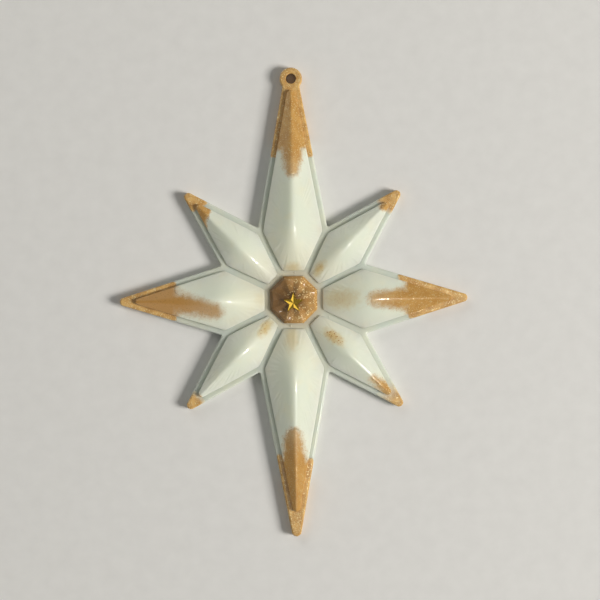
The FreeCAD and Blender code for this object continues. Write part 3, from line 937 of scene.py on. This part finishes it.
# How strong some of the colours are, as shares.
GRAIN_SHARE = 0.7  # pale gold that the grain brings
DARK_SHARE = 0.15  # darkness of the darkest flakes
CLOUD_WARMTH = 0.5  # warm clouds in the white resin
BOSS_WARMTH = 0.6  # warmth of the white resin beside the boss
RING_WARMTH = 0.8  # warmth of the ring round it
BOSS_AMBER = 0.6  # amber in the boss's gold
BOSS_CENTRE_SHADE_AND_DEPTH = 0.75  # how much darker the boss's centre is: partly deeper amber, partly painted shadow of the charm
BOSS_PAINTED_SHADE = 0.8  # how strongly painted shade darkens the boss's left side
METAL_SHARE = 0.2  # how metallic a bright flake is
FLAKE_SHINE = -0.2  # how much less rough it is

# How far light travels in the white resin, in metres, and how strongly it does.
SCATTER_WEIGHT = 0.7
SCATTER = {"Subsurface_Radius": (1.0, 1.0, 0.95), "Subsurface_Scale": 0.004}


def gold_grain(graph):
    """Colour, brightness of flakes and height of gold-flake resin."""
    clouds = graph.noise(GOLD_CLOUD, detail=3)
    base = graph.mix(graph.ramp(clouds, 0.35, 0.7), GOLD_DARK_AND_SHADE, GOLD)
    grain = graph.noise(GRAIN, roughness=0.7)
    pale = graph.times(graph.ramp(grain, 0.42, 0.75), GRAIN_SHARE)
    base = graph.mix(pale, base, GOLD_PALE)
    number = graph.cells(FLAKE)
    bright = graph.ramp(number, 0.90, 0.92)
    dark = graph.minus(1.0, graph.ramp(number, 0.04, 0.10))
    colour = graph.mix(graph.times(dark, DARK_SHARE), base, FLECK_DARK)
    colour = graph.mix(bright, colour, FLECK)
    return colour, bright, grain


def raggedness(graph):
    """How far the gold's edge is moved: coarse and fine noise, and rare speckles."""
    coarse = graph.minus(graph.noise(COARSE), 0.5)
    fine = graph.minus(graph.noise(FINE, roughness=0.6), 0.5)
    speckle = graph.sum("POWER", graph.cells(SPECKLE), SPECKLE_RARITY)
    small = graph.sum("MULTIPLY_ADD", fine, FINE_PUSH, speckle)
    return graph.sum("MULTIPLY_ADD", coarse, COARSE_PUSH, small)


def inside_tongue(graph, pour):
    """How far a point lies inside a pour's tongue, and how far along it from its end."""
    length = pour.roof - pour.tongue
    along = graph.minus(graph.y, pour.tongue)
    drift = (pour.roof_shift - pour.end_shift) / length
    middle = graph.sum("MULTIPLY_ADD", along, drift, pour.end_shift)
    across = graph.minus(graph.x, middle)
    short = graph.sum("MAXIMUM", graph.minus(pour.half_width, along), 0.0)
    flare = (TONGUE_FLARE - 1) * pour.half_width / length
    half_width = graph.sum("MULTIPLY_ADD", graph.sum("MAXIMUM", along, 0.0), flare, pour.half_width)
    return graph.minus(half_width, graph.length(across, short)), along


def pour_mask(graph, arm):
    """Two masks: 1 where a roof looks gold, with a soft grainy edge, and 1 where its resin is dense."""
    pour = POURS[arm.place]
    slant = math.tan(math.radians(pour.roof_skew))
    beyond = graph.sum("MULTIPLY_ADD", graph.x, slant, graph.minus(graph.y, pour.roof))
    tongue, along = inside_tongue(graph, pour)
    inside = graph.sum("SMOOTH_MAX", beyond, tongue, TONGUE_MELT)
    inside = graph.sum("ADD", inside, raggedness(graph))
    mask, dense = (graph.ramp(inside, low * pour.softness, high * pour.softness)
                   for low, high in (MASK_BAND, DENSE_BAND))
    to_root = graph.ramp(along, -pour.half_width, pour.roof - pour.tongue)
    thin = graph.minus(1.0, to_root)
    full = graph.sum("MULTIPLY_ADD", thin, -TONGUE_THINNING, 1.0)
    return graph.times(mask, full), dense


def stain_mask(graph, stain):
    """1 in the middle of a stain, fading out unevenly."""
    c, s = cos_sin(stain.turn)
    dx, dy = graph.minus(graph.x, stain.x), graph.minus(graph.y, stain.y)
    across, along = (
        graph.sum("MULTIPLY_ADD", first, c / half, graph.times(second, turn / half))
        for first, second, turn, half in ((dx, dy, s, stain.half_x), (dy, dx, -s, stain.half_y)))
    uneven = graph.sum("MULTIPLY_ADD", graph.noise(1.5), 0.9, -0.45)
    away = graph.sum("ADD", graph.length(across, along), uneven)
    near = graph.minus(1.0, away)
    return graph.times(graph.ramp(near, -0.2, 0.9), stain.strength)


def pearl_colour(graph, arm):
    """Clouded white resin with the arm's stain and the flecks in it."""
    clouds = graph.noise(PEARL_CLOUD, detail=3)
    colour = graph.mix(graph.ramp(clouds, 0.38, 0.68), PEARL_COOL, PEARL)
    warm = graph.ramp(graph.noise(WARM_CLOUD), 0.55, 0.8)
    colour = graph.mix(graph.times(warm, CLOUD_WARMTH), colour, PEARL_WARM)
    by_boss = graph.times(graph.ramp(graph.y, *ARM_WARMING), BOSS_WARMTH)
    colour = graph.mix(by_boss, colour, PEARL_WARM)
    if arm.place not in STAINS:
        return colour
    stain = STAINS[arm.place]
    mask = stain_mask(graph, stain)
    colour = graph.mix(mask, colour, STAIN)
    few = graph.ramp(graph.cells(STAIN_FLAKE), 0.84, 0.9)
    fleck = graph.times(few, graph.ramp(mask, 0.2, 0.6))
    return graph.mix(graph.times(fleck, stain.flecks), colour, GOLD_DARK_AND_SHADE)


def finish_arm(graph, colour, mask, bright, grain, scatter):
    """The shared end of an arm's two materials: gold where the mask is 1, with glints and grit."""
    sparkle = graph.times(bright, mask)
    roughness = graph.sum("MULTIPLY_ADD", mask, 0.04, 0.36)
    roughness = graph.sum("MULTIPLY_ADD", sparkle, FLAKE_SHINE, roughness)
    metal = graph.times(sparkle, METAL_SHARE)
    waves = graph.bump(graph.noise(2.5), strength=0.25, distance=0.25)
    grit = graph.times(grain, mask)
    grit = graph.bump(grit, strength=0.45, distance=0.15, below=waves)
    return graph.finish(Base_Color=colour, Roughness=roughness, Metallic=metal, Normal=grit,
                        Coat_Weight=0.5, Coat_Roughness=0.05, IOR=1.5, Subsurface_Weight=scatter,
                        **SCATTER)


def pearl_material(arm):
    """White pearl resin of a petal, which turns gold along the pour's edge."""
    graph = Graph(f"pearl_{arm.place}", arm.direction)
    gold, bright, grain = gold_grain(graph)
    # Darker gold on the roof: partly thicker resin, partly painted shade set arm by arm, which dims the
    # flakes too.
    gold = graph.mix(POURS[arm.place].deepening, gold, GOLD_DARK_AND_SHADE)
    mask, dense = pour_mask(graph, arm)
    colour = graph.mix(mask, pearl_colour(graph, arm), gold)
    scatter = graph.sum("MULTIPLY_ADD", dense, -SCATTER_WEIGHT, SCATTER_WEIGHT)
    return finish_arm(graph, colour, mask, bright, grain, scatter)


def flake_material(arm):
    """Gold-flake resin of a tip, which turns white along the pour's edge on the roof."""
    graph = Graph(f"gold_flake_{arm.place}", arm.direction)
    gold, bright, grain = gold_grain(graph)
    pour = POURS[arm.place]
    on_roof = graph.ramp(graph.z, arm.foot, arm.wall_top)
    # Darker gold on the roof: partly thicker resin, partly painted shade set arm by arm.
    gold = graph.mix(graph.times(on_roof, pour.deepening), gold, GOLD_DARK_AND_SHADE)
    # The flakes stay bright only in the share that this painted shade leaves, so shaded arms show fewer
    # glints.
    gold = graph.mix(graph.times(bright, 1 - pour.deepening), gold, FLECK)

    past_line = graph.minus(graph.y, arm.pour_place)
    run = graph.sum("MULTIPLY_ADD", graph.minus(graph.z, arm.foot), arm.pour_run, past_line)
    beyond = graph.sum("MULTIPLY_ADD", graph.x, rim_slant(arm), run)
    uneven = graph.sum("MULTIPLY_ADD", graph.noise(1.0, detail=3), 1.6, -0.8)
    rim_gold = graph.ramp(graph.sum("ADD", beyond, uneven), RIM_START, pour.rim_fade)
    on_rim = graph.sum("LESS_THAN", graph.z, arm.foot + FOOT_COVE / 2)
    white = graph.mix(on_rim, pearl_colour(graph, arm), BACKING_WARM)
    roof_gold, _dense = pour_mask(graph, arm)
    mask = graph.sum("MULTIPLY_ADD", on_rim, graph.minus(rim_gold, roof_gold), roof_gold)
    colour = graph.mix(mask, white, gold)
    return finish_arm(graph, colour, mask, bright, grain, 0.0)


def backing_material():
    """Slightly greener resin of the plate, ribs and ring."""
    graph = Graph("backing_resin_look")
    clouds = graph.noise(BACKING_CLOUD, detail=3)
    colour = graph.mix(graph.ramp(clouds, 0.35, 0.7), BACKING_COOL, BACKING_WARM)
    by_boss = graph.ramp(graph.length(graph.x, graph.y), *RING_WARMING)
    colour = graph.mix(graph.times(by_boss, RING_WARMTH), colour, RING_TINT)
    waves = graph.bump(graph.noise(3.0), strength=0.3, distance=0.25)
    roughness = graph.sum("MULTIPLY_ADD", clouds, 0.12, 0.28)
    return graph.finish(Base_Color=colour, Roughness=roughness, Normal=waves, Coat_Weight=0.35,
                        Coat_Roughness=0.08, IOR=1.5, Subsurface_Weight=SCATTER_WEIGHT, **SCATTER)


def amber_material():
    """Translucent brown resin of the boss, full of gold flakes, with painted shade on its left side and
    round the charm and painted glints on its lit side.
    """
    graph = Graph("amber_boss_look")
    gold, _bright, grain = gold_grain(graph)
    number = graph.cells(BOSS_FLAKE)
    bright = graph.ramp(number, 0.90, 0.93)
    # Darker round the charm: partly deeper amber, partly painted shadow of the charm.
    centre_shade_and_depth = graph.minus(1.0, graph.ramp(graph.length(graph.x, graph.y), *BOSS_CLEARING))
    colour = graph.mix(BOSS_AMBER, gold, AMBER)
    colour = graph.mix(graph.times(centre_shade_and_depth, BOSS_CENTRE_SHADE_AND_DEPTH), colour, AMBER_DARK_AND_SHADE)
    # Painted shade: the boss's left side, away from the lamp, is darkened in its colour.
    painted_light = graph.ramp(graph.x, *BOSS_PAINTED_LIGHT)
    colour = graph.mix(painted_light, graph.mix(BOSS_PAINTED_SHADE, colour, AMBER_DARK_AND_SHADE), colour)
    # Painted glints: bright flakes are coloured in only on the boss's lit right side.
    colour = graph.mix(graph.times(bright, painted_light), colour, FLECK)
    roughness = graph.sum("MULTIPLY_ADD", bright, FLAKE_SHINE, 0.5)
    metal = graph.times(bright, METAL_SHARE)
    waves = graph.bump(graph.noise(1.2), strength=0.3, distance=0.2)
    grit = graph.sum("ADD", grain, graph.times(number, 0.5))
    grit = graph.bump(grit, strength=0.5, distance=0.2, below=waves)
    return graph.finish(Base_Color=colour, Roughness=roughness, Metallic=metal, Normal=grit,
                        Coat_Weight=0.25, Coat_Roughness=0.15, IOR=1.5)


def brass_material():
    """Bright yellow metal with fine brushing and darker tarnish."""
    graph = Graph("charm_brass_look")
    tarnish = graph.noise(0.9, detail=3, roughness=0.6)
    colour = graph.mix(graph.ramp(tarnish, 0.55, 0.85), BRASS, TARNISH)
    roughness = graph.sum("MULTIPLY_ADD", tarnish, 0.25, 0.14)
    brushing = graph.bump(graph.noise(0.4), strength=0.3, distance=0.05)
    return graph.finish(Base_Color=colour, Metallic=1.0, Roughness=roughness, Normal=brushing)


def floor_material():
    """Pale studio surface with a faint grain."""
    graph = Graph("studio_floor")
    colour = graph.mix(graph.noise(6, detail=4), FLOOR_DARK, FLOOR_LIGHT)
    return graph.finish(Base_Color=colour, Roughness=0.8)


# -------- stage, lights and camera

FRAME_WIDTH = 240  # width that the camera sees at the top of the plate
LENS = 100
SENSOR = 36
NEAREST = 0.01  # what the camera sees starts at this distance, in metres
LOOK_AT = (2.56, -0.16)  # where it looks, in millimetres from the star's centre
ROLL = -0.75  # the star is turned a little anticlockwise in the view
KEY_COLOUR = (1.0, 0.975, 0.93)
GLOW_COLOUR = (1.0, 0.98, 0.90)
SKY_COLOUR = (0.95, 0.98, 0.96)
SKY_STRENGTH = 0.15
FLOOR_HALF = 12.0  # half the width of the floor, in metres
FLOOR_DROP = 0.00005  # how far it lies below the star, so that their faces don't coincide

# The lamps: direction in degrees, with azimuth 0 on the star's right, distance and width in metres,
# power in watts, colour, and whether they light matt surfaces or show in reflections.
Lamp = namedtuple("Lamp", "name azimuth elevation distance size power colour shows")
LAMPS = [
    Lamp("key", -12, 35, 2.4, 0.80, 58.5, KEY_COLOUR, "matt"),
    Lamp("fill", 125, 35, 2.4, 1.2, 9.0, GLOW_COLOUR, "matt"),
    Lamp("sparkle", -30, 69, 1.0, 0.08, 3.2, KEY_COLOUR, "reflections"),
]
LAMPS += [Lamp(f"glow_{azimuth}", azimuth, 21, 0.8, 0.5, 0.75, GLOW_COLOUR, "reflections")
          for azimuth in (125, 165, 235)]


def make_floor():
    """A wide pale plane just under the star."""
    mesh = bpy.data.meshes.new("floor")
    sides = ((-1, -1), (1, -1), (1, 1), (-1, 1))
    corners = [(FLOOR_HALF * x, FLOOR_HALF * y, -FLOOR_DROP) for x, y in sides]
    mesh.from_pydata(corners, [], [(0, 1, 2, 3)])
    mesh.materials.append(floor_material())
    floor = bpy.data.objects.new("floor", mesh)
    link(floor)


def make_lamp(lamp):
    """A square soft lamp that looks at the star."""
    data = bpy.data.lights.new(lamp.name, "AREA")
    data.size = lamp.size
    data.energy = lamp.power
    data.color = lamp.colour
    made = bpy.data.objects.new(lamp.name, data)
    (east, north), (level, up) = cos_sin(lamp.azimuth), cos_sin(lamp.elevation)
    made.location = lamp.distance * Vector((east * level, north * level, up))
    made.rotation_mode = "QUATERNION"
    made.rotation_quaternion = made.location.to_track_quat("Z", "Y")
    made.visible_glossy = lamp.shows == "reflections"
    made.visible_diffuse = lamp.shows == "matt"
    link(made)


def make_lights():
    """The lamps, and a dim even sky."""
    for lamp in LAMPS:
        make_lamp(lamp)
    world = bpy.data.worlds.new("studio")
    world.use_nodes = True
    background = world.node_tree.nodes["Background"]
    background.inputs["Color"].default_value = (*SKY_COLOUR, 1)
    background.inputs["Strength"].default_value = SKY_STRENGTH
    bpy.context.scene.world = world


def make_camera():
    """A camera straight above the star."""
    data = bpy.data.cameras.new("camera")
    data.lens = LENS
    data.sensor_width = SENSOR
    data.clip_start = NEAREST
    camera = bpy.data.objects.new("camera", data)
    height = plate.top + FRAME_WIDTH * LENS / SENSOR
    camera.location = Vector((*LOOK_AT, height)) * MM
    camera.rotation_euler = (0, 0, math.radians(ROLL))
    link(camera)
    bpy.context.scene.camera = camera


# -------- the whole scene

def make_all():
    """Every piece with its material, then the stage."""
    for arm in arms:
        make_petal_piece(arm, pearl_material(arm))
        make_tip_piece(arm, flake_material(arm))
    make_plate_piece(backing_material())
    make_boss_piece(amber_material())
    make_charm_piece(brass_material())
    make_floor()
    make_lights()
    make_camera()
    bpy.context.scene.view_settings.view_transform = "Standard"


make_all()
